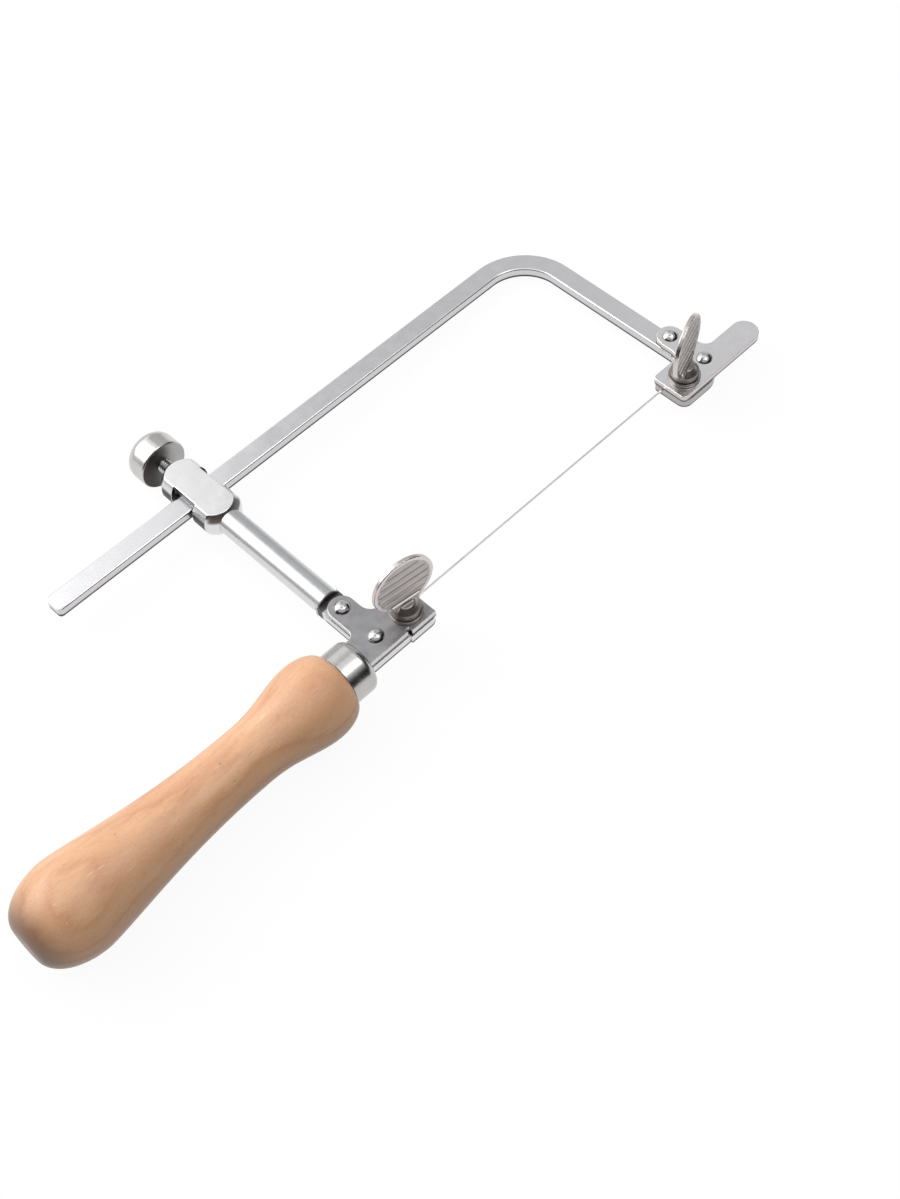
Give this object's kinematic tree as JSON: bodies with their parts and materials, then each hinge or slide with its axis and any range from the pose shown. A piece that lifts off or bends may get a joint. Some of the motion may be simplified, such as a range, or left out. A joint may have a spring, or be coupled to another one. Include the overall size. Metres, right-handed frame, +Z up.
{
  "type": "fret saw",
  "caption": "Adjustable fret saw with a turned wood handle, a flat bow that slides in a block on the rear arm, and screw clamps with round wings that hold a fine blade.",
  "frame": {"origin": "centre of the flat on the handle's butt, on the handle's axis", "axes": "+X along the handle and blade to the front clamp, +Y from the blade to the back of the bow, +Z up out of the side with the wings, with the saw lying flat"},
  "size_m": [0.2743, 0.1144, 0.0401],
  "materials": {
    "wood": "satin lacquer",
    "plated_steel": "bright plated, lightly brushed",
    "nickel": "plated casting",
    "blade_steel": "dark hardened steel"
  },
  "bodies": {
    "frame": {"handle": "wood", "ferrule": "plated_steel", "rear_arm": "plated_steel", "slider_block": "plated_steel", "rear_jaw_plate": "plated_steel", "rear_upper_rivet": "plated_steel", "rear_lower_rivet": "plated_steel", "rear_washer": "nickel", "blade": "blade_steel"},
    "bow": {"bow": "plated_steel", "front_jaw_plate": "plated_steel", "front_upper_rivet": "plated_steel", "front_lower_rivet": "plated_steel", "front_washer": "nickel"},
    "rear_screw": {"rear_screw": "plated_steel"},
    "rear_wing": {"rear_wing": "nickel"},
    "front_screw": {"front_screw": "plated_steel"},
    "front_wing": {"front_wing": "nickel"},
    "lock_screw": {"lock_screw": "plated_steel"},
    "lock_knob": {"lock_knob": "plated_steel"}
  },
  "joints": [
    {"name": "bow_slide", "type": "slide", "parent": "frame", "child": "bow", "axis": [1, 0, 0], "range_m": [-0.092, 0.042]},
    {"name": "rear_screw_rise", "type": "slide", "parent": "frame", "child": "rear_screw", "axis": [0, 0, 1], "range_m": [0, 0.0014]},
    {"name": "rear_wing_turn", "type": "hinge", "parent": "rear_screw", "child": "rear_wing", "pos_m": [0.1303, 0.0008, 0.01], "axis": [0, 0, 1], "range_deg": [0, 720]},
    {"name": "front_screw_rise", "type": "slide", "parent": "bow", "child": "front_screw", "axis": [0, 0, 1], "range_m": [0, 0.0014]},
    {"name": "front_wing_turn", "type": "hinge", "parent": "front_screw", "child": "front_wing", "pos_m": [0.2444, 0.0008, 0.01], "axis": [0, 0, 1], "range_deg": [0, 720]},
    {"name": "lock_screw_advance", "type": "slide", "parent": "frame", "child": "lock_screw", "axis": [0, 1, 0], "range_m": [0, 0.0016]},
    {"name": "lock_knob_turn", "type": "hinge", "parent": "lock_screw", "child": "lock_knob", "pos_m": [0.1191, 0.095, 0], "axis": [0, 1, 0], "range_deg": [0, 720]}
  ],
  "couplings": [
    {"joint": "rear_screw_rise", "follows": "rear_wing_turn", "m_per_rad": 0.0001114},
    {"joint": "front_screw_rise", "follows": "front_wing_turn", "m_per_rad": 0.0001114},
    {"joint": "lock_screw_advance", "follows": "lock_knob_turn", "m_per_rad": 0.0001273}
  ]
}
